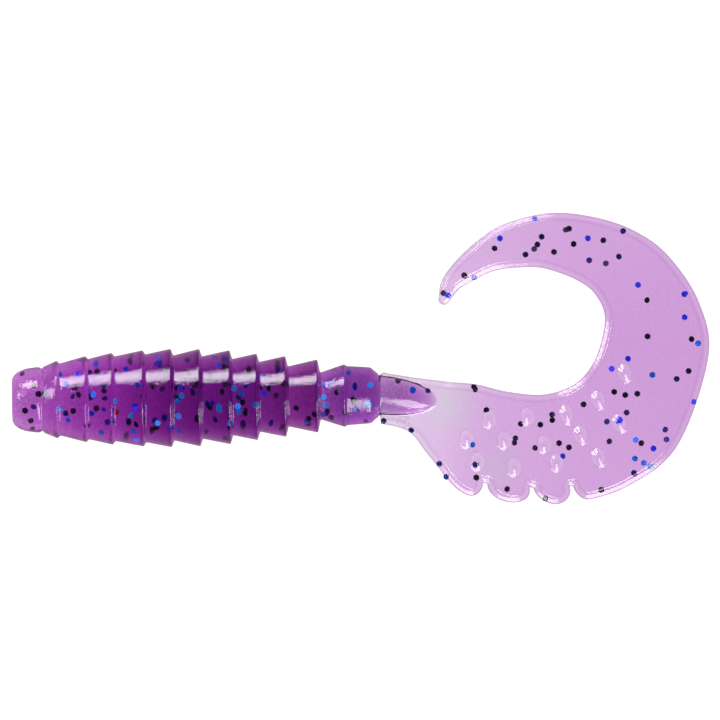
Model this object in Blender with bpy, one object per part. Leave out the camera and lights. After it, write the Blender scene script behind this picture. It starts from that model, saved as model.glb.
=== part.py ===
"""A curly-tail grub, the ribbed soft plastic worm that is threaded on a jig hook.

The worm lies on its side on a flat surface: nose at -X, curl of the tail opening towards -X, +Z up.
It is one casting of soft plastic. Each length of it that bends on the next is a section of its own,
cut where the real casting is thinnest: at the root of each groove of the body, and across the tail.
Plan positions are in millimetres from the nose, along the body (x) and across it (y).
"""

import math

import bmesh
import bpy
from mathutils import Matrix, Vector

MM = 0.001

# Where the middle of the whole worm's plan lies, measured from the nose on the body's axis
PLAN_CENTRE = (31.75, 3.354)

# Body, turned about its axis: (length, radius at the front, radius at the rim) of each rib
NOSE_LENGTH = 2.9
NOSE_FACE_RADIUS = 1.8
NOSE_SHOULDER_RADIUS = 2.65
NOSE_CORNER_LENGTH = 0.9
NOSE_END_RADIUS = 3.0
RIBS = (
    (1.30, 3.00, 3.55),
    (2.60, 3.30, 3.90),
    (2.40, 3.65, 4.15),
    (2.80, 3.85, 4.35),
    (2.55, 4.00, 4.45),
    (2.60, 3.85, 4.40),
    (2.75, 3.75, 4.25),
    (2.45, 3.45, 3.90),
    (2.60, 3.15, 3.65),
    (2.90, 2.70, 3.30),
)
COLLAR_LENGTH = 5.65
COLLAR_PROFILE = ((0.0, 2.20), (2.40, 2.85), (4.80, 2.50), (5.15, 2.25), (COLLAR_LENGTH, 1.90))
SPIKE_LENGTH = 5.0
SPIKE_RADIUS = 1.85
SPIKE_TURN = math.radians(-7.0)
TURNED_SIDES = 24

# A groove's flexure: the gap on the axis, and the cone that makes room for the bend
GROOVE_GAP = 0.3
GROOVE_RELIEF = math.radians(10.8)

# Tail blade: the two ends of each ruling across it, inner edge first
TAIL_RULINGS = (
    ((33.5, 2.10), (33.5, -2.60)),
    ((36.4, 1.60), (36.1, -3.40)),
    ((39.6, 1.15), (38.1, -5.90)),
    ((42.3, 0.85), (41.2, -9.15)),
    ((45.1, 0.15), (47.10, -10.05)),
    ((48.4, -0.15), (51.35, -9.95)),
    ((51.2, 0.75), (56.0, -8.55)),
    ((52.9, 2.60), (60.5, -4.95)),
    ((53.8, 5.00), (63.4, 3.00)),
    ((54.0, 7.20), (62.65, 8.00)),
    ((53.1, 9.00), (60.0, 12.20)),
    ((51.9, 10.00), (57.0, 14.55)),
    ((50.2, 10.80), (53.3, 15.90)),
    ((48.1, 11.40), (49.2, 16.35)),
    ((45.8, 11.40), (45.0, 15.40)),
    ((44.0, 11.15), (42.4, 13.80)),
    ((42.3, 10.40), (40.5, 12.05)),
    ((40.85, 9.55), (39.25, 10.35)),
    ((39.9, 8.40), (38.95, 8.85)),
)
BLADE_THICKNESS = 1.1
BLADE_EDGE_BEVEL = 0.25
BLADE_COLUMNS = (0.25, 0.5, 0.75)
ROWS_PER_RULING = 4
ROW_MARGIN = 0.11
TIP_ROUNDING = 0.5

# The rulings between which the blade droops from the body's mid-height to the surface below
DROOP_START = 1.8
DROOP_END = 5.6

# Scallops along the fin's outer edge: (ruling number at the lobe's crown, half width in rulings)
LOBES = ((3.02, 0.26), (3.69, 0.345), (4.52, 0.415), (5.24, 0.24))
NOTCH_DEPTH = 1.5
LOBE_STEPS = 4

# Tail sections: name, first ruling, last ruling
TAIL_SECTIONS = (
    ("fin_front", 2, 4),
    ("fin_rear", 4, 6),
    ("curl_heel", 6, 8),
    ("curl_back", 8, 10),
    ("curl_crest", 10, 12),
    ("curl_hook", 12, 14),
    ("curl_barb", 14, 16),
    ("curl_tip", 16, 18),
)
FLEX_HALF_GAP = 0.15
FLEX_SURFACE_SETBACK = 0.33

# Raised lens-shaped pips on the upper face of the fin: share of the blade's width, rulings
PIP_ROWS = (
    (0.24, (3.40, 4.38, 5.40, 6.38, 7.35)),
    (0.46, (2.88, 3.68, 4.62, 5.55, 6.48)),
    (0.67, (3.17, 3.75, 4.80, 5.70)),
)
PIP_WIDTH = 1.4
PIP_LENGTH = 2.0
PIP_HEIGHT = 0.35
PIP_SINK = 0.06
PIP_LEAN = math.radians(12.0)
PIP_SIDES = 12

PLASTIC_COLOR = (0.36, 0.05, 0.42, 1.0)
TAIL_COLOR = (0.66, 0.38, 0.74, 1.0)

AXIS_HEIGHT = max(rib[2] for rib in RIBS)


def clear_scene():
    for thing in list(bpy.data.objects):
        bpy.data.objects.remove(thing, do_unlink=True)


def soft_plastic(name, color):
    """Clear soft plastic, tinted in the mass."""
    material = bpy.data.materials.new(name)
    material.use_nodes = True
    shader = material.node_tree.nodes["Principled BSDF"]
    shader.inputs["Base Color"].default_value = color
    shader.inputs["Roughness"].default_value = 0.12
    shader.inputs["Metallic"].default_value = 0.0
    shader.inputs["Transmission Weight"].default_value = 0.7
    shader.inputs["IOR"].default_value = 1.48
    return material


def in_world(x, y, z):
    """A plan position in millimetres from the nose, and a height, as a point in metres."""
    return Vector((x - PLAN_CENTRE[0], y - PLAN_CENTRE[1], z)) * MM


def add_section(name, mesh, origin, parent, color):
    """One section, its origin on the hinge that joins it to its parent."""
    section = bpy.data.objects.new(name, mesh)
    bpy.context.scene.collection.objects.link(section)
    section.parent = parent
    section.location = origin - (parent.matrix_world.translation if parent else Vector())
    mesh.materials.append(soft_plastic(name, color))
    bpy.context.view_layer.update()
    return section


def mesh_from(bm, name, smooth_below=35.0):
    bmesh.ops.recalc_face_normals(bm, faces=bm.faces)
    mesh = bpy.data.meshes.new(name)
    bm.to_mesh(mesh)
    bm.free()
    mesh.shade_smooth()
    mesh.set_sharp_from_angle(angle=math.radians(smooth_below))
    return mesh


def spin_profile(bm, profile):
    """Turns (x, radius) points about the X axis. The first and last points lie on the axis."""
    verts = [bm.verts.new(Vector((x, 0.0, -radius)) * MM) for x, radius in profile]
    edges = [bm.edges.new(pair) for pair in zip(verts, verts[1:])]
    bmesh.ops.spin(bm, geom=verts + edges, cent=(0, 0, 0), axis=(1, 0, 0),
                   angle=math.tau, steps=TURNED_SIDES)
    bmesh.ops.remove_doubles(bm, verts=bm.verts, dist=1e-7)


def relief_face(radius):
    """The front face of a section: a point on the axis, and the rim of its relief cone."""
    half = GROOVE_GAP / 2
    return [(half, 0.0), (half + radius * math.tan(GROOVE_RELIEF), radius)]


def nose_profile():
    """Flat front, a quarter-round corner and a slight taper, from the front face backwards."""
    rise = NOSE_SHOULDER_RADIUS - NOSE_FACE_RADIUS
    points = [(0.0, 0.0)]
    for step in range(5):
        turn = math.radians(90.0) * step / 4
        points.append((NOSE_CORNER_LENGTH * (1 - math.cos(turn)), NOSE_FACE_RADIUS + rise * math.sin(turn)))
    end = NOSE_LENGTH - GROOVE_GAP / 2
    return points + [(end, NOSE_END_RADIUS), (end, 0.0)]


def rib_profile(length, front_radius, rim_radius):
    """A saw-tooth rib about its front hinge: relief cone, flank rising to the rim, flat rear face."""
    end = length - GROOVE_GAP / 2
    return relief_face(front_radius) + [(end, rim_radius), (end, 0.0)]


def collar_profile():
    """Two-taper barrel behind the last rib, about its front hinge."""
    rear = [(x, radius) for x, radius in COLLAR_PROFILE[1:-1]]
    end = COLLAR_LENGTH - GROOVE_GAP / 2
    return relief_face(COLLAR_PROFILE[0][1]) + rear + [(end, COLLAR_PROFILE[-1][1]), (end, 0.0)]


def spike_profile():
    """The body's pointed end inside the root of the tail: a half ellipse behind a relief cone."""
    front = relief_face(SPIKE_RADIUS)
    start = front[-1][0]
    points = list(front)
    for step in range(1, 7):
        turn = math.radians(90.0) * step / 6
        points.append((start + (SPIKE_LENGTH - start) * math.sin(turn), SPIKE_RADIUS * math.cos(turn)))
    return points


def turned_mesh(name, profile):
    bm = bmesh.new()
    spin_profile(bm, profile)
    return mesh_from(bm, name)


def spline(points, t):
    """A point of the smooth curve through points, at ruling number t."""
    last = len(points) - 1
    index = min(int(t), last - 1)
    u = t - index
    before, start, end, after = (Vector(points[min(max(index + k, 0), last)]) for k in (-1, 0, 1, 2))
    return 0.5 * (2 * start + (end - before) * u + (2 * before - 5 * start + 4 * end - after) * u ** 2
                  + (3 * start - before - 3 * end + after) * u ** 3)


def blade_height(t):
    """Height of the blade's middle surface along ruling number t."""
    share = min(max((t - DROOP_START) / (DROOP_END - DROOP_START), 0.0), 1.0)
    flat = BLADE_THICKNESS / 2
    return AXIS_HEIGHT + (flat - AXIS_HEIGHT) * share ** 2 * (3 - 2 * share)


def notch_depth(t):
    """How far the outer edge is cut in from the crowns of the scallops at ruling number t."""
    if not LOBES[0][0] < t < LOBES[-1][0]:
        return 0.0
    share = min(abs(t - centre) / half for centre, half in LOBES)
    return NOTCH_DEPTH * (1 - math.sqrt(max(0.0, 1 - min(share, 1.0) ** 2)))


def ruling(t):
    """The inner and outer ends of the ruling at number t, on the blade's middle surface."""
    inner = spline([pair[0] for pair in TAIL_RULINGS], t)
    outer = spline([pair[1] for pair in TAIL_RULINGS], t)
    outer = outer + (inner - outer).normalized() * notch_depth(t)
    return in_world(*inner, blade_height(t)), in_world(*outer, blade_height(t))


def blade_rows(first, last):
    """The ruling numbers that a section is lofted through, closer together round the scallops."""
    rows = {first + (last - first) * k / (ROWS_PER_RULING * (last - first))
            for k in range(1, ROWS_PER_RULING * (last - first))}
    for centre, half in LOBES:
        rows = {t for t in rows if abs(t - centre) >= half}
        for step in range(-LOBE_STEPS, LOBE_STEPS + 1):
            rows.add(round(centre + half * math.sin(math.radians(90.0) * step / LOBE_STEPS), 4))
    return sorted(t for t in rows if first + ROW_MARGIN < t < last - ROW_MARGIN)


def across(inner, outer, shift):
    """The edge and column points of one ruling, each with its half thickness, moved by shift."""
    width = (outer - inner).length
    bevel = min(BLADE_EDGE_BEVEL * MM / width, BLADE_COLUMNS[0] / 2)
    shares = (0.0, bevel, *BLADE_COLUMNS, 1 - bevel, 1.0)
    full = BLADE_THICKNESS * MM / 2
    halves = [full - BLADE_EDGE_BEVEL * MM if share in (0.0, 1.0) else full for share in shares]
    return [inner.lerp(outer, share) + shift for share in shares], halves


def ring_of(bm, inner, outer, shift):
    """A closed ring round the blade at one ruling: upper side out, lower side back."""
    points, halves = across(inner, outer, shift)
    up = [bm.verts.new(p + Vector((0, 0, half))) for p, half in zip(points, halves)]
    down = [bm.verts.new(p - Vector((0, 0, half))) for p, half in zip(points, halves)]
    return up + down[::-1]


def bridge(bm, ring, next_ring):
    count = len(ring)
    for k in range(count):
        bm.faces.new((ring[k], ring[(k + 1) % count], next_ring[(k + 1) % count], next_ring[k]))


def roof_end(bm, ring, inner, outer, shift):
    """Closes a section's end with two slopes that meet in a ridge on the middle surface."""
    points, _halves = across(inner, outer, shift)
    ridge = [bm.verts.new(p) for p in points]
    up, down = ring[:len(ridge)], ring[len(ridge):][::-1]
    for k in range(len(ridge) - 1):
        bm.faces.new((up[k], up[k + 1], ridge[k + 1], ridge[k]))
        bm.faces.new((down[k], down[k + 1], ridge[k + 1], ridge[k]))
    for k in (0, -1):
        bm.faces.new((up[k], ridge[k], down[k]))


def towards(t, sign):
    """Unit vector in plan, square to the ruling at t, along the tail (sign 1) or back (-1)."""
    inner, outer = ruling(t)
    direction = (inner - outer).cross(Vector((0, 0, 1))).normalized()
    ahead = ruling(min(t + 0.1, len(TAIL_RULINGS) - 1))[1] - ruling(t - 0.1)[1]
    return direction * (sign if direction.dot(ahead) > 0 else -sign)


def flex_end(bm, t, sign):
    """The bevelled end of a section beside the hinge on ruling t."""
    inner, outer = ruling(t)
    direction = towards(t, sign) * MM
    ring = ring_of(bm, inner, outer, direction * FLEX_SURFACE_SETBACK)
    roof_end(bm, ring, inner, outer, direction * FLEX_HALF_GAP)
    return ring


def rounded_tip(bm, t):
    """The blunt end of the tail, rounded in plan, as rings and a closing face."""
    inner, outer = ruling(t)
    middle = (inner + outer) / 2
    direction = towards(t, 1) * MM
    rings = []
    for turn in (math.radians(30), math.radians(60)):
        narrow = math.cos(turn)
        shift = direction * TIP_ROUNDING * math.sin(turn)
        rings.append(ring_of(bm, middle.lerp(inner, narrow), middle.lerp(outer, narrow), shift))
    bm.faces.new(rings[-1])
    return rings


def blade_loft(bm, first, last, open_front=False):
    """Lofts the blade between two rulings, with a flexure at each end that isn't the tip."""
    rings = [ring_of(bm, *ruling(first + 0.12), Vector())] if open_front else [flex_end(bm, first, 1)]
    if open_front:
        bm.faces.new(rings[0])
    rings += [ring_of(bm, *ruling(t), Vector()) for t in blade_rows(first, last)]
    if last == len(TAIL_RULINGS) - 1:
        rings.append(ring_of(bm, *ruling(last), Vector()))
        rings += rounded_tip(bm, last)
    else:
        rings.append(flex_end(bm, last, -1))
    for ring, next_ring in zip(rings, rings[1:]):
        bridge(bm, ring, next_ring)


def moved_to_origin(bm, origin):
    bmesh.ops.translate(bm, verts=bm.verts, vec=-origin)


def pip_places(first, last):
    """The middle of each pip between two rulings, a little below the blade's upper face."""
    up = Vector((0, 0, BLADE_THICKNESS / 2 - PIP_SINK)) * MM
    places = []
    for share, rulings in PIP_ROWS:
        for t in rulings:
            if first < t < last:
                inner, outer = ruling(t)
                places.append(inner.lerp(outer, share) + up)
    return places


def pip_mesh(name, places, origin):
    """The pips of one section, as lens-shaped bodies that sink half way into the blade."""
    bm = bmesh.new()
    size = Matrix.Diagonal((PIP_WIDTH / 2 * MM, PIP_LENGTH / 2 * MM, PIP_HEIGHT * MM, 1.0))
    for place in places:
        spot = bmesh.ops.create_uvsphere(bm, u_segments=PIP_SIDES, v_segments=6, radius=1.0)["verts"]
        lean = Matrix.Translation(place - origin) @ Matrix.Rotation(PIP_LEAN, 4, "Z")
        bmesh.ops.transform(bm, matrix=lean @ size, verts=spot)
    return mesh_from(bm, name)


def cutter(name, mesh, section):
    """A hidden body that a section is joined with."""
    helper = bpy.data.objects.new(name, mesh)
    bpy.context.scene.collection.objects.link(helper)
    helper.parent = section
    helper.hide_render = True
    helper.display_type = "WIRE"
    return helper


def join_with(section, helper):
    union = section.modifiers.new("join_" + helper.name, "BOOLEAN")
    union.operation = "UNION"
    union.solver = "EXACT"
    union.use_self = True
    union.object = helper


def make_body():
    """The nose, ten ribs and the collar, each hinged on the one in front of it."""
    nose = add_section("nose", turned_mesh("nose", nose_profile()), in_world(0, 0, AXIS_HEIGHT), None,
                       PLASTIC_COLOR)
    ahead, x = nose, NOSE_LENGTH
    for number, rib in enumerate(RIBS, start=1):
        name = f"rib_{number:02d}"
        mesh = turned_mesh(name, rib_profile(*rib))
        ahead = add_section(name, mesh, in_world(x, 0, AXIS_HEIGHT), ahead, PLASTIC_COLOR)
        x += rib[0]
    collar = add_section("collar", turned_mesh("collar", collar_profile()), in_world(x, 0, AXIS_HEIGHT),
                         ahead, PLASTIC_COLOR)
    return collar, x + COLLAR_LENGTH


def make_tail_root(collar, x):
    """The spike that ends the body, with the web of the tail round it."""
    origin = in_world(x, 0, AXIS_HEIGHT)
    bm = bmesh.new()
    spin_profile(bm, spike_profile())
    bmesh.ops.rotate(bm, verts=bm.verts, cent=(0, 0, 0), matrix=Matrix.Rotation(SPIKE_TURN, 3, "Z"))
    root = add_section("tail_root", mesh_from(bm, "tail_root"), origin, collar, TAIL_COLOR)
    bm = bmesh.new()
    blade_loft(bm, 0, 2, open_front=True)
    moved_to_origin(bm, origin)
    join_with(root, cutter("web", mesh_from(bm, "web"), root))
    return root


def make_tail(root):
    """The scalloped fin and the curl, each section hinged across the blade on the one before."""
    ahead = root
    for name, first, last in TAIL_SECTIONS:
        inner, outer = ruling(first)
        origin = (inner + outer) / 2
        bm = bmesh.new()
        blade_loft(bm, first, last)
        moved_to_origin(bm, origin)
        ahead = add_section(name, mesh_from(bm, name), origin, ahead, TAIL_COLOR)
        places = pip_places(first, last)
        if places:
            join_with(ahead, cutter(name + "_pips", pip_mesh(name + "_pips", places, origin), ahead))


def main():
    clear_scene()
    collar, tail_x = make_body()
    make_tail(make_tail_root(collar, tail_x))


main()
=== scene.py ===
"""A curly-tail grub of clear purple soft plastic with glitter in it, seen from above a pale floor.

The skin is one surface, measured in millimetres from the nose: x along the body, y across it, height up.
Every cross-section of it is a ring of RING points that starts at its +Y edge and runs over the top.
It is cut in the middle of each CAD section, so that each length spans one hinge.
"""

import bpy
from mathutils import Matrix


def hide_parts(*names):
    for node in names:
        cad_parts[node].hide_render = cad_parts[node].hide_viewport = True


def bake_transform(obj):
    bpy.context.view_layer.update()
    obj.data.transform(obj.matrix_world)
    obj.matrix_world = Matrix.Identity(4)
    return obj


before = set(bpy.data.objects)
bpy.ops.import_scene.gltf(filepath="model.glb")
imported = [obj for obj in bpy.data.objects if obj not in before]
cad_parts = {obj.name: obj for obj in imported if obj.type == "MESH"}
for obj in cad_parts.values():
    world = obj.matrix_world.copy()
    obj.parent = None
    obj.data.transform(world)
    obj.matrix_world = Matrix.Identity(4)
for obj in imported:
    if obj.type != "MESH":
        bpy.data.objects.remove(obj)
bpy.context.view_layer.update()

import functools
import math

import bpy
import numpy as np
from mathutils import Vector

MM = 0.001
RNG = np.random.default_rng(41)

# The CAD part's own measures
PLAN_CENTRE = (31.75, 3.354)
AXIS_HEIGHT = 4.45
NOSE_LENGTH = 2.9
RIBS = (  # length, radius at the front, radius at the rim
    (1.30, 2.95, 3.48),
    (2.60, 3.22, 3.86),
    (2.40, 3.60, 4.12),
    (2.80, 3.80, 4.32),
    (2.55, 3.95, 4.42),
    (2.60, 3.82, 4.38),
    (2.75, 3.70, 4.22),
    (2.45, 3.42, 3.88),
    (2.60, 3.12, 3.62),
    (2.90, 2.68, 3.27),
)
COLLAR_LENGTH = 5.65
TAIL_RULINGS = (  # inner and outer end of each line across the tail
    ((33.5, 2.10), (33.5, -2.60)),
    ((36.4, 1.60), (36.1, -3.40)),
    ((39.6, 1.15), (38.1, -5.90)),
    ((42.3, 0.85), (41.2, -9.15)),
    ((45.1, 0.15), (47.10, -10.05)),
    ((48.4, -0.15), (51.35, -9.95)),
    ((51.2, 0.75), (56.0, -8.55)),
    ((52.9, 2.60), (60.5, -4.95)),
    ((53.8, 5.00), (63.4, 3.00)),
    ((54.0, 7.20), (62.65, 8.00)),
    ((53.1, 9.00), (60.0, 12.20)),
    ((51.9, 10.00), (57.0, 14.55)),
    ((50.2, 10.80), (53.3, 15.90)),
    ((48.1, 11.40), (49.2, 16.35)),
    ((45.8, 11.40), (45.0, 15.40)),
    ((44.0, 11.15), (42.4, 13.80)),
    ((42.3, 10.40), (40.5, 12.05)),
    ((40.85, 9.55), (39.25, 10.35)),
    ((39.9, 8.40), (38.95, 8.85)),
)
LAST_RULING = len(TAIL_RULINGS) - 1
HINGE_RULINGS = range(2, 18, 2)
CUT_RULINGS = range(1, 17, 2)  # the middles of the CAD's tail sections
DROOP = (1.8, 5.6)  # the rulings between which the blade sinks from the body's axis to the ground
LOBES = ((3.02, 0.26), (3.69, 0.345), (4.52, 0.415), (5.24, 0.24))  # middle and half width, in rulings
NOTCH_DEPTH = 1.5
BODIES = ["nose"] + [f"rib_{n:02d}" for n in range(1, 11)] + [
    "collar", "tail_root", "fin_front", "fin_rear", "curl_heel", "curl_back", "curl_crest",
    "curl_hook", "curl_barb", "curl_tip"]
COLLAR, TAIL_ROOT = BODIES.index("collar"), BODIES.index("tail_root")

# Finer shapes of the casting
RING = 128
SIDE = RING // 2
NOSE_PROFILE = ((0.08, 1.78), (0.15, 2.00), (0.33, 2.26), (0.70, 2.56), (1.37, 2.79), (2.40, 2.93),
                (2.60, 2.90), (2.82, 2.76))
RIM_SETBACK = 0.03
ROOT_SETBACK = 0.22
FIRST_ROOT_SETBACK = 0.05
RIM_ROUNDING = 0.09
COLLAR_PROFILE = ((0.25, 2.08), (2.42, 2.80), (2.62, 2.64), (4.78, 2.49), (5.42, 1.96), (5.60, 1.74))
COLLAR_CUT = 2.52  # between the collar's two rims
PROFILE_STEP = 0.35
MOULD_LINE = {0: 0.05, 1: 0.02, -1: 0.02}  # steps round the ring from the seam, height
# The body's pointed end, which runs on into the root of the tail
SPIKE = {"start": 33.55, "length": 5.3, "radius": 1.75, "turn": math.radians(-7.0), "tip": 0.97}
SPIKE_REACH = (39.5, 40.5)  # where along the blade the spike's height fades out
BLADE_HALF = (  # ruling number, half thickness
    (0, 0.40), (2.0, 0.40), (3.4, 0.52), (8.0, 0.62), (12.0, 0.56), (16.0, 0.45), (18.0, 0.36))
FRONT_ROUNDING = {"y": (1.2, 2.1), "rulings": 0.4, "depth": 0.3}  # of the blade's corner at the collar
EDGE_BAND = 0.8
NARROW_BAND = 0.38  # the most that an edge band takes of the width
EDGE_COLUMNS = 12
EDGE_PROFILE = (  # distance in from the edge, share of the height
    (0.0, 0.25), (0.07, 0.62), (0.36, 0.72), (0.62, 1.0))
FIRST_ROW = 0.04
ROW_STEP = 0.035
LOBE_STEPS = 12
TIP_ROUNDING = 0.5
TIP_TURNS = (20, 40, 58, 72, 83)
PIPS = (  # ruling number, share of the width from the inner edge
    (3.40, 0.30), (4.38, 0.21), (5.41, 0.21), (6.38, 0.23), (7.35, 0.29),
    (2.88, 0.51), (3.70, 0.45), (4.62, 0.46), (5.55, 0.42), (6.48, 0.50),
    (3.17, 0.69), (3.82, 0.69), (4.80, 0.65), (5.72, 0.66),
)
PIP_HALF = (0.70, 0.96)  # half width and half length
PIP_HEIGHT = 0.56
PIP_LEAN = math.radians(-12.0)
# How much lighter the pips are painted than their depth of plastic would leave them: painted light
PIP_PAINTED_LIGHTENING = 0.5
CUT_GAP = 0.002

# A station is x along the body, and TAIL + the ruling number in the tail
TAIL = 100.0

# How much red, green and blue each millimetre takes, by station.
# Part of it is taken in the depth, and the rest at the skin.
ABSORPTION = (
    (0.0, (0.145, 0.38, 0.115)), (9.0, (0.185, 0.50, 0.150)), (15.0, (0.250, 0.64, 0.215)),
    (22.0, (0.290, 0.70, 0.240)), (27.0, (0.310, 0.74, 0.280)), (30.5, (0.320, 0.66, 0.235)),
    (100.0, (0.310, 0.56, 0.235)), (101.5, (0.375, 0.80, 0.295)), (103.0, (0.390, 0.89, 0.305)),
)
EDGE_SHADE_LINES = (  # dark lines of painted shade: distance in from the tail's edge, half width, share darkened
    (0.04, 0.10, 0.30), (0.62, 0.09, 0.12))
GREY_PATCHES = ((39.9, -0.9, 2.2), (44.0, -6.6, 1.6))  # plan place and spread
GREY = (0.92, 1.10, 0.93)
BODY_DEPTH_SHARE = 0.72
TAIL_DEPTH_SHARE = 0.40
GRAIN_SCALE = 5200.0  # per metre

# Glitter
FLAKE_RADIUS = 0.30
FLAKE_THICKNESS = 0.03
FLAKE_COVER = 0.38  # the least plastic over the middle of a deep flake
DEEP_FLAKES = 70
DEEP_REGION = ((0.5, -4.5, -4.5), (32.6, 4.5, 4.5))  # two corners, measured from the body's axis
BRIGHT_DEPTH, DARK_DEPTH = (0.22, 0.45), (0.4, 1.2)  # under the skin
# Black and navy paint the blue-black foil in shade; blue, azure and cyan paint it glinting where it catches
# the light
FLAKE_COLOURS_WITH_PAINTED_LIGHT = {
    "black": (0.005, 0.006, 0.030), "navy": (0.010, 0.030, 0.200), "blue": (0.020, 0.080, 1.000),
    "azure": (0.010, 0.350, 1.000), "cyan": (0.010, 0.800, 1.000), "red": (0.350, 0.000, 0.010),
}
BODY_FLAKES = {  # plan places of those just under the skin, on the side away from the floor
    "black": (
        (2.5, 0.5), (1.3, -0.9), (1.8, -1.8), (6.2, 0.4), (5.7, -1.0), (7.3, 0.3), (8.5, 0.7), (7.8, -0.8),
        (15.2, 0.0), (19.5, 1.1), (19.4, -3.5), (20.7, 0.0), (24.1, 0.1), (24.8, 1.1), (29.6, 0.3),
        (30.4, -1.4), (16.3, 2.1), (19.9, -2.5), (13.2, -2.5), (25.9, -1.0)),
    "navy": (
        (1.1, 2.2), (3.2, 0.5), (5.0, -1.2), (8.5, 1.2), (17.7, -2.9), (16.1, 3.2), (24.6, 3.2), (25.6, 1.1),
        (29.1, -1.8), (2.4, -2.5), (7.2, 2.3), (27.0, -2.3)),
    "blue": (
        (5.0, 1.4), (11.3, -0.9), (15.4, 0.9), (23.0, 0.3), (28.5, 1.0), (29.1, 1.1), (6.2, 2.2),
        (13.3, 3.0), (10.5, 2.5)),
    "azure": (
        (11.1, -2.9), (11.4, -3.6), (18.9, 2.8), (18.6, 3.5), (13.5, 3.5), (15.2, -2.9), (20.9, 0.3),
        (28.3, -1.6), (30.6, 2.0), (26.8, -2.2), (8.2, -2.9), (4.5, 2.2), (7.5, 0.4), (22.7, 1.8),
        (5.2, -1.8)),
    "cyan": (
        (4.4, -0.9), (10.9, -1.5), (15.2, -1.6), (15.1, -0.3), (15.5, 0.2), (18.9, -0.8), (18.9, -1.1),
        (20.6, -0.8), (20.7, -1.3), (20.3, 0.8), (22.2, -0.7), (28.4, -0.1), (28.6, -0.8), (32.4, -0.8),
        (32.6, 0.9), (13.3, -2.2), (9.4, -0.2), (19.9, -2.2)),
    "red": ((9.6, -1.2),),
}
TAIL_FLAKES = {  # plan places of those in the blade
    "black": (
        (44.1, 13.2), (48.4, 14.2), (48.0, 13.5), (47.7, 13.1), (46.9, 12.6), (49.5, 12.8), (50.6, 14.8),
        (50.9, 14.9), (51.3, 13.5), (54.0, 13.8), (54.2, 11.7), (41.3, 10.8), (39.4, 9.2), (57.9, 8.3),
        (57.9, 5.0), (61.9, 4.7), (61.6, 1.8), (54.8, 0.0), (55.8, -0.3), (56.9, -0.2), (52.0, -1.1),
        (54.3, -4.5), (49.1, -2.0), (49.1, -2.5), (48.0, -2.9), (46.2, -2.8), (49.7, -4.6), (50.6, -5.0),
        (47.5, -5.0), (45.7, -4.1), (45.6, -4.5), (57.2, -4.7), (53.5, -8.9), (44.9, -8.7), (48.4, -9.6),
        (42.1, -7.6), (43.1, -1.5), (42.0, 0.6), (42.1, 0.4), (35.1, 1.1)),
    "navy": (
        (55.4, 12.3), (52.7, 12.0), (60.5, 1.1), (59.4, -3.5), (38.8, -6.3), (39.4, -7.5), (59.5, -4.4),
        (55.9, -1.9), (54.1, -2.7), (55.8, 14.6), (56.5, -7.4), (42.1, -6.4), (37.8, 0.3), (33.8, -2.3),
        (36.3, -3.2)),
    "blue": (
        (47.8, 15.8), (44.6, 14.1), (52.6, 14.0), (42.2, 10.6), (39.8, 9.0), (57.1, 9.7), (61.3, 8.8),
        (61.3, 6.7), (56.1, 3.0), (54.6, 2.1), (62.0, -1.0), (50.0, -5.8), (55.2, -2.6), (58.3, -5.2)),
    "azure": ((36.4, 0.3), (62.5, 4.3), (56.7, -4.4), (56.6, -6.1), (57.4, -6.5), (58.3, 1.5), (41.8, -4.6)),
    "cyan": ((58.0, -6.8),),
}


def in_world(points):
    """Rows of plan x, plan y and height in millimetres, as points in metres."""
    return (np.asarray(points, float) - (*PLAN_CENTRE, 0.0)) * MM


def smooth(value):
    """A ramp from 0 to 1 with soft ends."""
    value = np.clip(value, 0.0, 1.0)
    return value * value * (3 - 2 * value)


# ---------------------------------------------------------------- the body's turned profile

def rounded(points, radius, steps=3):
    """The line through points with each corner turned into a short curve."""
    points = [np.array(p, float) for p in points]
    line = [points[0]]
    for before, corner, after in zip(points, points[1:], points[2:]):
        reach = min(radius, 0.45 * np.linalg.norm(before - corner), 0.45 * np.linalg.norm(after - corner))
        start = corner + (before - corner) / np.linalg.norm(before - corner) * reach
        end = corner + (after - corner) / np.linalg.norm(after - corner) * reach
        for step in range(steps + 1):
            u = step / steps
            line.append((1 - u) ** 2 * start + 2 * u * (1 - u) * corner + u * u * end)
    return line + [points[-1]]


def subdivided(line, longest):
    """The same line with no step longer than longest."""
    out = [line[0]]
    for a, b in zip(line, line[1:]):
        count = max(1, math.ceil(np.linalg.norm(b - a) / longest))
        out += [a + (b - a) * k / count for k in range(1, count + 1)]
    return out


@functools.cache
def body_profile():
    """Points (x, radius) from the nose to the neck behind the collar, and where each section starts."""
    points, starts, x = list(NOSE_PROFILE), [0.0], NOSE_LENGTH
    for number, (length, front, rim) in enumerate(RIBS):
        starts.append(x)
        setback = ROOT_SETBACK if number else FIRST_ROOT_SETBACK
        points += [(x + setback, front), (x + length - RIM_SETBACK, rim)]
        x += length
    starts.append(x)
    points += [(x + along, radius) for along, radius in COLLAR_PROFILE]
    starts.append(x + COLLAR_LENGTH)
    return subdivided(rounded(points, RIM_ROUNDING), PROFILE_STEP), starts


def turned_ring(x, radius):
    """A round ring of the body, with the mould's seam standing a little proud on both sides."""
    turn = np.arange(RING) * math.tau / RING
    out = np.full(RING, radius)
    for offset, height in MOULD_LINE.items():
        for seam in (0, SIDE):
            out[(seam + offset) % RING] += height
    return np.stack([np.full(RING, x), out * np.cos(turn), AXIS_HEIGHT + out * np.sin(turn)], axis=1)


# ---------------------------------------------------------------- the tail's blade

def spline(points, t):
    """Points of the smooth curve through points, at ruling numbers t."""
    points = np.asarray(points, float)
    last = len(points) - 1
    index = np.minimum(t.astype(int), last - 1)
    u = (t - index)[:, None]
    before, start, end, after = (points[np.clip(index + k, 0, last)] for k in (-1, 0, 1, 2))
    return 0.5 * (2 * start + (end - before) * u + (2 * before - 5 * start + 4 * end - after) * u ** 2
                  + (3 * start - before - 3 * end + after) * u ** 3)


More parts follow.
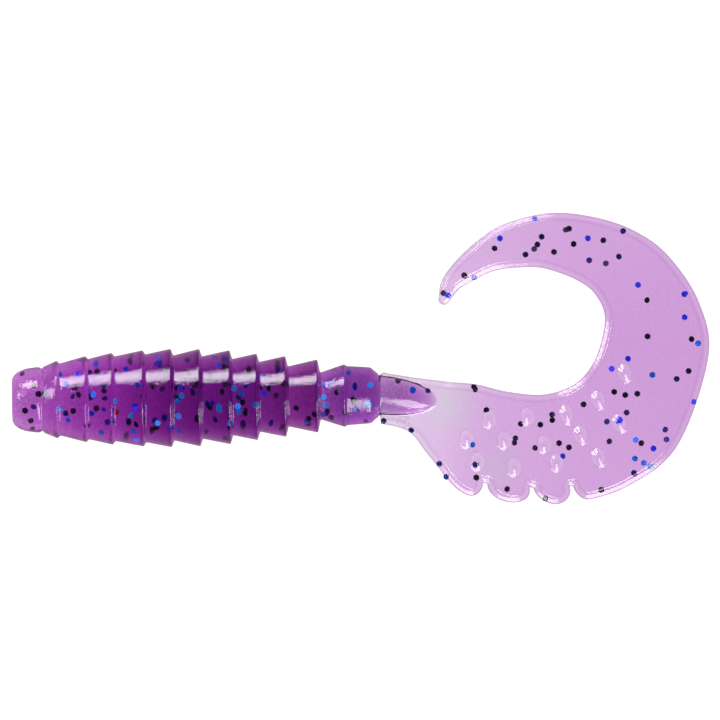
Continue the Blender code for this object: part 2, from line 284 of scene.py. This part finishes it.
def notch_depth(t):
    """How far the outer edge is cut in between the lobes."""
    share = np.min([np.abs(t - centre) / half for centre, half in LOBES], axis=0)
    depth = NOTCH_DEPTH * (1 - np.sqrt(np.maximum(0.0, 1 - np.minimum(share, 1.0) ** 2)))
    return np.where((t > LOBES[0][0]) & (t < LOBES[-1][0]), depth, 0.0)


def ruling(t):
    """Inner and outer ends in plan of the lines across the tail at ruling numbers t."""
    inner = spline([pair[0] for pair in TAIL_RULINGS], t)
    outer = spline([pair[1] for pair in TAIL_RULINGS], t)
    inward = (inner - outer) / np.linalg.norm(inner - outer, axis=1)[:, None]
    return inner, outer + inward * notch_depth(t)[:, None]


def half_thickness(t):
    return np.interp(t, *zip(*BLADE_HALF))


def middle_height(t):
    """Height of the blade's middle plane, which droops to lie on the ground."""
    share = smooth((t - DROOP[0]) / (DROOP[1] - DROOP[0]))
    return AXIS_HEIGHT + (half_thickness(t) - AXIS_HEIGHT) * share


@functools.cache
def tail_rows():
    """Ruling numbers of the tail's rings, closer together at the ends of each lobe."""
    rows = set(np.round(np.arange(FIRST_ROW, LAST_RULING, ROW_STEP), 4)) | {float(LAST_RULING)}
    for centre, half in LOBES:
        rows = {t for t in rows if abs(t - centre) >= half}
        rows |= {round(centre + half * math.sin(math.pi / 2 * step / LOBE_STEPS), 4)
                 for step in range(-LOBE_STEPS, LOBE_STEPS + 1)}
    return np.array(sorted(rows))


def column_shares(width):
    """Where a ring's points lie across the blade: close together at both edges."""
    band = np.minimum(EDGE_BAND, NARROW_BAND * width) / width
    steps = 1 - np.cos(np.pi / 2 * np.arange(EDGE_COLUMNS + 1) / EDGE_COLUMNS)
    edge = band[:, None] * steps
    inside = np.linspace(0, 1, SIDE - 2 * EDGE_COLUMNS + 1)[None, 1:-1]
    middle = band[:, None] + (1 - 2 * band[:, None]) * inside
    return np.concatenate([edge, middle, 1 - edge[:, ::-1]], axis=1)


@functools.cache
def outline():
    """The tail's edge line in plan: along its inner side, round the tip and back along the outer side."""
    inner, outer = ruling(tail_rows())
    return np.concatenate([inner, tip_curve(np.linspace(0, math.pi, 9)), outer[::-1]])


def outline_distance(plan):
    """How far plan points lie from the tail's edge line."""
    a, b = outline()[:-1], outline()[1:]
    along = b - a
    size = np.maximum((along ** 2).sum(1), 1e-12)
    out = np.empty(len(plan))
    for first in range(0, len(plan), 2000):
        p = plan[first:first + 2000, None, :]
        u = np.clip(((p - a) * along).sum(2) / size, 0, 1)
        out[first:first + 2000] = np.sqrt((((a + along * u[..., None]) - p) ** 2).sum(2).min(1))
    return out


def edge_share(distance):
    """Height of the blade's upper face above its lower one, as a share of the full thickness."""
    steps, heights = np.array(EDGE_PROFILE).T
    index = np.clip(np.searchsorted(steps, distance) - 1, 0, len(steps) - 2)
    u = smooth((distance - steps[index]) / (steps[index + 1] - steps[index]))
    return heights[index] + (heights[index + 1] - heights[index]) * u


def soft_maximum(a, b, soft=0.10):
    """The larger of two heights, with a fillet where they cross."""
    return np.maximum(a, 0.5 * (a + b + np.sqrt((a - b) ** 2 + soft ** 2)) - soft / 2)


def spike_place(plan):
    """Distances along the spike from its broad end and across it, at plan points."""
    c, s = math.cos(SPIKE["turn"]), math.sin(SPIKE["turn"])
    x, y = plan[:, 0] - SPIKE["start"], plan[:, 1]
    return x * c + y * s, -x * s + y * c


def spike_height(plan):
    """Half height of the body's pointed end that stands in the root of the tail."""
    along, across = spike_place(plan)
    share = np.clip(along / SPIKE["length"], 0, SPIKE["tip"])
    radius = SPIKE["radius"] * np.sqrt(1 - share ** 2)
    radius = np.where(along > SPIKE["length"] * SPIKE["tip"], 0, radius)
    return np.sqrt(np.maximum(radius ** 2 - across ** 2, 0))


def pip_height(plan):
    """Height of the raised pips at plan points: each is a cone with a blunt point."""
    t, share = np.array(PIPS).T
    inner, outer = ruling(t)
    centres = inner + (outer - inner) * share[:, None]
    c, s = math.cos(PIP_LEAN), math.sin(PIP_LEAN)
    out = np.zeros(len(plan))
    for centre in centres:
        d = plan - centre
        x, y = (d[:, 0] * c - d[:, 1] * s) / PIP_HALF[0], (d[:, 0] * s + d[:, 1] * c) / PIP_HALF[1]
        out = np.maximum(out, PIP_HEIGHT * (1 - np.sqrt(x * x + y * y + 0.01)))
    return out


def blade_rings(t):
    """Rings of the tail at ruling numbers t."""
    inner, outer = ruling(t)
    width = np.linalg.norm(outer - inner, axis=1)
    shares = column_shares(width)
    plan = inner[:, None, :] + (outer - inner)[:, None, :] * shares[..., None]
    low, high = FRONT_ROUNDING["y"]
    fade = np.clip(1 - t / FRONT_ROUNDING["rulings"], 0, 1)[:, None]
    plan[..., 0] += FRONT_ROUNDING["depth"] * smooth((plan[..., 1] - low) / (high - low)) * fade
    rows, columns = shares.shape
    flat = plan.reshape(-1, 2)
    distance = outline_distance(flat)
    half = np.repeat(half_thickness(t), columns)
    blade = half * (2 * edge_share(distance) - 1)
    spike = spike_height(flat)
    near = smooth((SPIKE_REACH[1] - flat[:, 0]) / (SPIKE_REACH[1] - SPIKE_REACH[0]))
    up = blade + (soft_maximum(blade, spike) - blade) * near
    down = half + (soft_maximum(half, spike) - half) * near
    up, down, pips = (values.reshape(rows, columns) for values in (up, down, pip_height(flat)))
    middle = middle_height(t)[:, None]
    top = np.concatenate([plan, (middle + up + pips)[..., None]], axis=2)
    under = np.concatenate([plan, (middle - down)[..., None]], axis=2)
    return np.concatenate([top, under[:, -2:0:-1]], axis=1)


def tip_curve(turns):
    """Points round the blunt end of the tail, from its inner side (turn 0) to its outer side."""
    inner, outer = (end[0] for end in ruling(np.array([float(LAST_RULING)])))
    before = sum(ruling(np.array([LAST_RULING - 0.2])))[0] / 2
    middle, across = (inner + outer) / 2, (inner - outer) / 2
    onward = np.array([across[1], -across[0]]) / np.linalg.norm(across)
    onward = onward if onward @ (middle - before) > 0 else -onward
    turns = np.asarray(turns)[:, None]
    return middle + across * np.cos(turns) + onward * TIP_ROUNDING * np.sin(turns)


def tip_rings():
    """Narrowing rings round the blunt end of the tail."""
    last = blade_rings(np.array([float(LAST_RULING)]))[0]
    low = last[:, 2].min()
    chord = last[SIDE, :2] - last[0, :2]
    share = (last[:, :2] - last[0, :2]) @ chord / np.linalg.norm(chord) ** 2
    rings = []
    for turn in np.radians(TIP_TURNS):
        inner, outer = tip_curve([turn, math.pi - turn])
        ring = last.copy()
        ring[:, :2] = inner + (outer - inner) * share[:, None]
        ring[:, 2] = low + (last[:, 2] - low) * math.cos(turn) ** 0.4
        rings.append(ring)
    return rings


# ---------------------------------------------------------------- meshes

def skin_mesh(name, rings, front_cut, rear_cut, tints):
    """A closed length of the casting. Faces where it is cut carry cap = 1 and aren't seen."""
    rings = np.array(rings)
    for end, inside, cut in ((0, 1, front_cut), (-1, -2, rear_cut)):
        if cut:
            step = rings[inside] - rings[end]
            rings[end] += step / np.linalg.norm(step, axis=1)[:, None] * CUT_GAP / 2
    rows = len(rings)
    faces, cap = [], []
    for row in range(rows - 1):
        for k in range(RING):
            n = (k + 1) % RING
            faces.append((row * RING + k, row * RING + n, (row + 1) * RING + n, (row + 1) * RING + k))
            cap.append(0.0)
    for row, cut, sign in ((0, front_cut, 1), (rows - 1, rear_cut, -1)):
        for k in range(SIDE):
            quad = [row * RING + k, row * RING + (RING - k) % RING,
                    row * RING + RING - k - 1, row * RING + k + 1]
            quad = list(dict.fromkeys(quad))[::sign]
            faces.append(quad)
            cap.append(1.0 if cut else 0.0)
    mesh = bpy.data.meshes.new(name)
    mesh.from_pydata(in_world(rings.reshape(-1, 3)).tolist(), [], faces)
    mesh.shade_smooth()
    mesh.attributes.new("cap", "FLOAT", "FACE").data.foreach_set("value", cap)
    colours = np.concatenate([tints, np.ones((*tints.shape[:2], 1))], axis=2).astype(np.float32)
    mesh.attributes.new("tint", "FLOAT_COLOR", "POINT").data.foreach_set("color", colours.ravel())
    edges = np.empty(len(mesh.edges) * 2, int)
    mesh.edges.foreach_get("vertices", edges)
    ends = edges.reshape(-1, 2) // RING
    flat = (ends[:, 0] == ends[:, 1]) & ((ends[:, 0] == 0) | (ends[:, 0] == rows - 1))
    mesh.attributes.new("sharp_edge", "BOOLEAN", "EDGE").data.foreach_set("value", flat)
    return mesh


def add_object(name, mesh, material):
    """A mesh as an object in the scene, in one material."""
    thing = bpy.data.objects.new(name, mesh)
    bpy.context.scene.collection.objects.link(thing)
    mesh.materials.append(material)
    return thing


def flake_mesh(name, places, tilts, spins, tints):
    """Hexagonal flakes, each a closed plate: centre, plate's upward direction, turn and colour."""
    verts, faces, colours = [], [], []
    for place, up, spin, tint in zip(places, tilts, spins, tints):
        side = np.cross(up, (1.0, 0.0, 0.0) if abs(up[0]) < 0.8 else (0.0, 1.0, 0.0))
        side /= np.linalg.norm(side)
        other = np.cross(up, side)
        base = len(verts)
        for level in (-0.5, 0.5):
            for corner in range(6):
                turn = spin + corner * math.pi / 3
                verts.append(place + FLAKE_RADIUS * (math.cos(turn) * side + math.sin(turn) * other)
                             + up * level * FLAKE_THICKNESS)
        faces.append([base + k for k in (5, 4, 3, 2, 1, 0)])
        faces.append([base + 6 + k for k in range(6)])
        faces += [(base + k, base + (k + 1) % 6, base + 6 + (k + 1) % 6, base + 6 + k) for k in range(6)]
        colours += [tint] * 8
    mesh = bpy.data.meshes.new(name)
    mesh.from_pydata(in_world(np.array(verts)).tolist(), [], faces)
    tint_layer = mesh.attributes.new("tint", "FLOAT_COLOR", "FACE")
    tint_layer.data.foreach_set("color", np.array(colours, np.float32).ravel())
    return mesh


# ---------------------------------------------------------------- materials

def absorption(station):
    """What each millimetre takes of red, green and blue at a station, or at several."""
    stations, shares = zip(*ABSORPTION)
    return np.stack([np.interp(station, stations, column) for column in zip(*shares)], axis=-1)


def skin_tints(rings, stations, in_depth):
    """What the skin lets through at each point of the rings, beyond what the depth under it takes. On the
    tail it also holds grey patches, pips painted lighter with a ring of painted shade round each, and dark
    lines of painted shade along the edge.
    """
    upright = rings[:, :, 2] - rings[:, (-np.arange(RING)) % RING, 2]
    depth = np.where((stations < TAIL)[:, None], np.ptp(rings[:, :, 2], axis=1)[:, None],
                     np.maximum(np.abs(upright), 2 * half_thickness(stations - TAIL)[:, None]))
    more = absorption(stations) - np.array(in_depth)
    left = np.exp(-np.maximum(more[:, None, :], 0) * depth[..., None])
    tail = stations >= TAIL
    if tail.any():
        plan = rings[tail][:, :, :2].reshape(-1, 2)
        shape = (tail.sum(), RING, 1)
        inward = outline_distance(plan).reshape(shape)
        # Painted light on the pips: lighter inside, with a ring of painted shade round each rim
        inside = smooth(pip_height(plan).reshape(shape) / PIP_HEIGHT / 0.3)
        left[tail] = left[tail] ** (1 - PIP_PAINTED_LIGHTENING * inside) * (1 - 0.5 * inside * (1 - inside))
        for *place, spread in GREY_PATCHES:
            near = np.exp(-((plan - place) ** 2).sum(1) / spread ** 2).reshape(shape)
            left[tail] *= 1 + near * (np.array(GREY) - 1)
        # Dark lines of painted shade along the tail's edge
        for place, half, share in EDGE_SHADE_LINES:
            left[tail] *= 1 - share * np.exp(-((inward - place) / half) ** 2)
    return left


def new_material(name):
    """A material with its shader, and its tree of nodes."""
    material = bpy.data.materials.new(name)
    material.use_nodes = True
    return material, material.node_tree.nodes["Principled BSDF"], material.node_tree


def node(tree, kind, **values):
    """A shader node with its settings and, under their names with _ for a space, its sockets' values."""
    made = tree.nodes.new(kind)
    for key, value in values.items():
        if hasattr(made, key):
            setattr(made, key, value)
        else:
            made.inputs[key.replace("_", " ")].default_value = value
    return made


def soft_plastic(name, absorbed, in_tail):
    """Clear plastic that absorbs so much red, green and blue light in each millimetre, a little grainy."""
    material, shader, tree = new_material(name)
    for key, value in (("Transmission Weight", 1.0), ("Roughness", 0.05), ("IOR", 1.2), ("Coat Weight", 1.0),
                       ("Coat Roughness", 0.13 if in_tail else 0.08), ("Coat IOR", 1.5)):
        shader.inputs[key].default_value = value

    # The faces where a length is cut from the next one aren't seen
    cap = node(tree, "ShaderNodeAttribute", attribute_name="cap")
    seen = node(tree, "ShaderNodeMath", operation="SUBTRACT")
    seen.inputs[0].default_value = 1.0
    tree.links.new(cap.outputs["Fac"], seen.inputs[1])
    tree.links.new(seen.outputs[0], shader.inputs["Alpha"])

    # What the depth takes
    strongest = max(absorbed)
    depth = node(tree, "ShaderNodeVolumeAbsorption", Density=strongest / MM,
                 Color=(*(1 - value / strongest for value in absorbed), 1.0))
    tree.links.new(depth.outputs[0], tree.nodes["Material Output"].inputs["Volume"])

    # What the skin takes, with the tail's pips painted lighter and painted shade along its edge, speckled by
    # a fine grain
    grain = node(tree, "ShaderNodeTexNoise", Scale=GRAIN_SCALE, Detail=2.0)
    tree.links.new(node(tree, "ShaderNodeTexCoord").outputs["Object"], grain.inputs["Vector"])
    speckle = node(tree, "ShaderNodeMapRange", From_Min=0.35, From_Max=0.65,
                   To_Min=0.93 if in_tail else 0.75, To_Max=1.0)
    tint = node(tree, "ShaderNodeAttribute", attribute_name="tint")
    mottled = node(tree, "ShaderNodeVectorMath", operation="SCALE")
    tree.links.new(grain.outputs["Fac"], speckle.inputs["Value"])
    tree.links.new(tint.outputs["Color"], mottled.inputs[0])
    tree.links.new(speckle.outputs[0], mottled.inputs["Scale"])
    tree.links.new(mottled.outputs[0], shader.inputs["Base Color"])

    # The same grain is felt in the shine
    bump = node(tree, "ShaderNodeBump", Strength=1.0, Distance=0.000014 if in_tail else 0.000024)
    tree.links.new(grain.outputs["Fac"], bump.inputs["Height"])
    tree.links.new(bump.outputs["Normal"], shader.inputs["Normal"])
    tree.links.new(bump.outputs["Normal"], shader.inputs["Coat Normal"])
    return material


def foil():
    """The flakes' foil, coloured by each flake's tint: painted glints on some, painted shade on others."""
    material, shader, tree = new_material("glitter_foil")
    shader.inputs["Metallic"].default_value = 0.35
    shader.inputs["Roughness"].default_value = 0.40
    tint = node(tree, "ShaderNodeAttribute", attribute_name="tint")
    tree.links.new(tint.outputs["Color"], shader.inputs["Base Color"])
    return material


# ---------------------------------------------------------------- where the flakes lie
# Each function gives its flakes' places, upward directions, stations and colours' names.

def listed(groups):
    """The places in a table of flakes, and the colour's name for each."""
    places = [place for spots in groups.values() for place in spots]
    return np.array(places), [name for name, spots in groups.items() for _place in spots]


def body_radius(x):
    """The smallest radius of the body within a flake's reach of x."""
    along, radius = np.array(body_profile()[0]).T
    return np.min([np.interp(x + shift, along, radius) for shift in (-FLAKE_RADIUS, 0, FLAKE_RADIUS)], axis=0)


def leaning(count, spread):
    """Directions near the vertical."""
    up = RNG.normal(0, spread, (count, 3)) * (1, 1, 0) + (0, 0, 1)
    return up / np.linalg.norm(up, axis=1)[:, None]


def deep_flakes():
    """Dark flakes scattered through the body."""
    places = []
    while len(places) < DEEP_FLAKES:
        x, y, z = RNG.uniform(*DEEP_REGION)
        if math.hypot(y, z) < body_radius(x) - FLAKE_COVER:
            places.append((x, y, AXIS_HEIGHT + z))
    places = np.array(places)
    ups = leaning(DEEP_FLAKES, 0.6)
    return places, ups, places[:, 0], list(RNG.choice(["black", "navy", "azure"], DEEP_FLAKES))


def upper_flakes():
    """Flakes just under the body's skin: the bright ones lie nearest to it."""
    plan, names = listed(BODY_FLAKES)
    bright = np.isin(names, ("azure", "cyan", "red"))
    surface = np.sqrt(np.maximum(body_radius(plan[:, 0]) ** 2 - (np.abs(plan[:, 1]) + 0.25) ** 2, 0.01))
    depth = np.where(bright, RNG.uniform(*BRIGHT_DEPTH, len(plan)), RNG.uniform(*DARK_DEPTH, len(plan)))
    places = np.concatenate([plan, (AXIS_HEIGHT + surface - depth)[:, None]], axis=1)
    return places, leaning(len(plan), 0.3), plan[:, 0], names


def tail_flakes():
    """Flakes in the thin blade, almost flat."""
    plan, names = listed(TAIL_FLAKES)
    inner, outer = ruling(tail_rows())
    along = outer - inner
    u = ((plan[:, None] - inner) * along).sum(2) / (along ** 2).sum(1)
    gap = np.linalg.norm(plan[:, None] - inner - along * np.clip(u, 0, 1)[..., None], axis=2)
    t = tail_rows()[gap.argmin(axis=1)]
    height = middle_height(t) + RNG.uniform(-0.45, 0.2, len(t)) * half_thickness(t)
    return np.concatenate([plan, height[:, None]], axis=1), leaning(len(t), 0.2), TAIL + t, names


# ---------------------------------------------------------------- where the casting is cut and bends

def casting():
    """The casting's rings from the nose to the tip of the tail, and their stations."""
    profile, _starts = body_profile()
    tip = tip_rings()
    rings = [turned_ring(x, radius) for x, radius in profile]
    stations = [x for x, _radius in profile]
    rings += [*blade_rings(tail_rows()), *tip]
    stations += [*(TAIL + tail_rows()), *[TAIL + LAST_RULING + 0.5] * len(tip)]
    return np.array(rings), np.array(stations)


def cut_stations():
    """The middles of the sections between the first and the last."""
    _profile, starts = body_profile()
    ribs = [start + length / 2 for start, (length, _front, _rim) in zip(starts[1:], RIBS)]
    return [*ribs, starts[COLLAR] + COLLAR_CUT, *(TAIL + t for t in CUT_RULINGS)]


def hinges():
    """The middle of each hinge and the level direction across it, from the nose to the tip."""
    _profile, starts = body_profile()
    out = [(np.array([x, 0.0, AXIS_HEIGHT]), np.array([1.0, 0.0, 0.0])) for x in starts[1:]]
    for t in HINGE_RULINGS:
        inner, outer = (end[0] for end in ruling(np.array([float(t)])))
        across = (outer - inner) / np.linalg.norm(outer - inner)
        onward = np.array([-across[1], across[0]])
        middle = (inner + outer) / 2
        ahead = sum(ruling(np.array([t + 0.2])))[0] / 2 - middle
        onward = onward if onward @ ahead > 0 else -onward
        height = middle_height(np.array([float(t)]))[0]
        out.append((np.array([*middle, height]), np.array([*onward, 0.0])))
    return out


# ---------------------------------------------------------------- the worm

rings, stations = casting()
cut_rows = [int(np.argmin(np.abs(stations - cut))) for cut in cut_stations()]
first_rows, last_rows = [0, *cut_rows], [*cut_rows, len(rings) - 1]

groups = [deep_flakes(), upper_flakes(), tail_flakes()]
flake_places, flake_ups, flake_stations = (np.concatenate([group[k] for group in groups]) for k in range(3))
flake_spins = RNG.uniform(0, math.pi / 3, len(flake_places))
flake_tints = np.array([(*FLAKE_COLOURS_WITH_PAINTED_LIGHT[name], 1.0) for group in groups for name in group[3]])
flake_lengths = np.searchsorted(stations[cut_rows], flake_stations)  # the number of the length each is in
glitter_foil = foil()

for number, ((hinge, onward), first, last) in enumerate(zip(hinges(), first_rows, last_rows)):
    before, after = BODIES[number], BODIES[number + 1]
    in_tail = number >= TAIL_ROOT
    piece, piece_stations = rings[first:last + 1], stations[first:last + 1]
    depth_share = TAIL_DEPTH_SHARE if in_tail else BODY_DEPTH_SHARE
    in_depth = absorption(piece_stations[len(piece) // 2]) * depth_share

    name = f"skin_{before}-{after}"
    tints = skin_tints(piece, piece_stations, in_depth)
    mesh = skin_mesh(name, piece, first > 0, last < len(rings) - 1, tints)
    skin = add_object(name, mesh, soft_plastic(f"plastic_{before}-{after}", in_depth, in_tail))
    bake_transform(skin)
    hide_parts(after, *(["nose"] if number == 0 else []))

    here = flake_lengths == number
    if here.any():
        name = f"glitter_{before}-{after}"
        mesh = flake_mesh(name, flake_places[here], flake_ups[here], flake_spins[here], flake_tints[here])
        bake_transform(add_object(name, mesh, glitter_foil))

# ---------------------------------------------------------------- floor, surroundings, lights and camera

WHITE = 0.97
CEILING = 0.05
WALL_FADE = (0.12, 0.28)  # sines of the heights above the horizon between which white fades to the ceiling
FLOOR_REFLECTED = 0.36
FLOOR_REFLECTED_HUE = (0.80, 0.16, 0.72, 1)
FLOOR_DEPTH = 0.075  # below the reach of the bent worm, so that no pose dips into the floor
LIGHTS_AIM = Vector((-0.012, 0, 0.004))
CAMERA_LENS = 1200.0
SENSOR_WIDTH = 36.0
PICTURE_WIDTH = 0.06552


def direct_reflection(tree):
    """1 for a reflection in the worm's outer skin, else 0: the surroundings shine less there."""
    rays = node(tree, "ShaderNodeLightPath")
    direct = node(tree, "ShaderNodeMath", operation="SUBTRACT", use_clamp=True)
    tree.links.new(rays.outputs["Is Glossy Ray"], direct.inputs[0])
    tree.links.new(rays.outputs["Is Transmission Ray"], direct.inputs[1])
    return direct.outputs[0]


def floor_paint():
    """Evenly lit white, like a light table, but dim purple where the worm's skin reflects it."""
    material, shader, tree = new_material("floor")
    shader.inputs["Base Color"].default_value = (0.12, 0.12, 0.12, 1)
    shader.inputs["Roughness"].default_value = 0.9
    shader.inputs["Specular IOR Level"].default_value = 0.0
    direct = direct_reflection(tree)
    shine = node(tree, "ShaderNodeMapRange", To_Min=WHITE, To_Max=FLOOR_REFLECTED)
    hue = node(tree, "ShaderNodeMixRGB", Color1=(1, 1, 1, 1), Color2=FLOOR_REFLECTED_HUE)
    tree.links.new(direct, shine.inputs["Value"])
    tree.links.new(shine.outputs[0], shader.inputs["Emission Strength"])
    tree.links.new(direct, hue.inputs["Fac"])
    tree.links.new(hue.outputs[0], shader.inputs["Emission Color"])
    return material


def surroundings():
    """The floor's white goes on past the horizon, as a pale wall would carry it, up to a dim ceiling."""
    world = bpy.data.worlds.new("studio")
    world.use_nodes = True
    tree = world.node_tree
    background = tree.nodes["Background"]
    background.inputs["Color"].default_value = (1, 1, 1, 1)
    height = node(tree, "ShaderNodeSeparateXYZ")
    fade = node(tree, "ShaderNodeMapRange", From_Min=WALL_FADE[0], From_Max=WALL_FADE[1],
                To_Min=WHITE, To_Max=CEILING)
    shine = node(tree, "ShaderNodeMapRange", To_Max=CEILING)
    tree.links.new(node(tree, "ShaderNodeTexCoord").outputs["Generated"], height.inputs[0])
    tree.links.new(height.outputs["Z"], fade.inputs["Value"])
    tree.links.new(direct_reflection(tree), shine.inputs["Value"])
    tree.links.new(fade.outputs[0], shine.inputs["To Min"])
    tree.links.new(shine.outputs[0], background.inputs["Strength"])
    return world


def softbox(name, place, size, radiance):
    """A lit rectangle that faces the worm and isn't seen itself."""
    light = bpy.data.lights.new(name, "AREA")
    light.shape = "RECTANGLE"
    light.size, light.size_y = size
    light.energy = radiance * size[0] * size[1] * math.pi
    lamp = bpy.data.objects.new(name, light)
    bpy.context.scene.collection.objects.link(lamp)
    lamp.location = place
    lamp.rotation_euler = (LIGHTS_AIM - Vector(place)).to_track_quat("-Z", "Y").to_euler()
    lamp.visible_camera = False


bpy.ops.mesh.primitive_plane_add(size=40, location=(0, 0, -FLOOR_DEPTH))
floor = bpy.context.object
floor.name = "floor"
floor.data.materials.append(floor_paint())

bpy.context.scene.world = surroundings()
softbox("key", (-0.15, 0.35, 0.205), (0.26, 0.19), 11)
softbox("fill", (0.116, -0.25, 0.231), (0.18, 0.42), 8)
softbox("side", (-0.33, 0.11, 0.19), (0.15, 0.18), 9)

camera = bpy.data.objects.new("camera", bpy.data.cameras.new("camera"))
bpy.context.scene.collection.objects.link(camera)
bpy.context.scene.camera = camera
camera.data.sensor_width = SENSOR_WIDTH
camera.data.lens = CAMERA_LENS
camera.location = (-0.000034, -0.000139, PICTURE_WIDTH / SENSOR_WIDTH * CAMERA_LENS)
camera.rotation_euler = (0, 0, math.radians(-0.787))
camera.data.clip_start, camera.data.clip_end = 0.01, 100.0

scene = bpy.context.scene
scene.view_settings.view_transform = "Standard"
scene.cycles.max_bounces = 24
scene.cycles.transmission_bounces = 24
scene.cycles.transparent_max_bounces = 64
